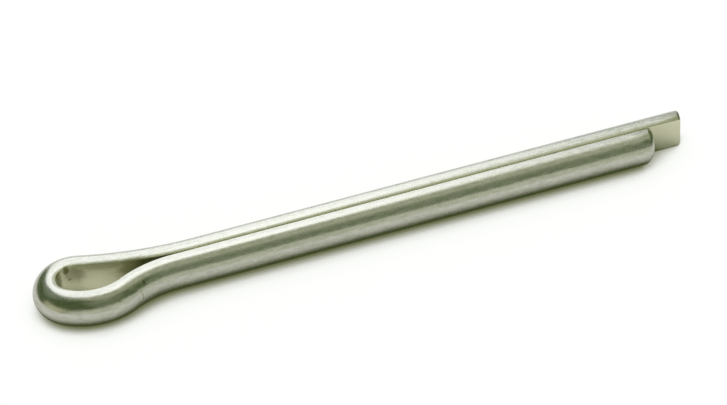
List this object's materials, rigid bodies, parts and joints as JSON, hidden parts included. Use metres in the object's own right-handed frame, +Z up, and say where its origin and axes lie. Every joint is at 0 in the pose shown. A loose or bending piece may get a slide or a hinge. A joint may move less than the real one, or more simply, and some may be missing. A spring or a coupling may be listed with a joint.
{
  "type": "cotter pin",
  "caption": "Cotter pin of half-round steel wire, folded flat side inwards into a long eye and prongs of unequal length that lie side by side as a split shank, sheared at a slant.",
  "frame": {"origin": "on the plane the pin lies on, under the middle of its length and width", "axes": "+X along the prongs from the eye to their cut ends, +Y towards the longer prong, +Z up from the plane the pin lies on"},
  "size_m": [0.0424, 0.0056, 0.0022],
  "materials": {
    "stainless_steel": "satin, drawn wire with a fine tumbled grain"
  },
  "bodies": {
    "root": {"cotter_pin": "stainless_steel"}
  },
  "joints": []
}
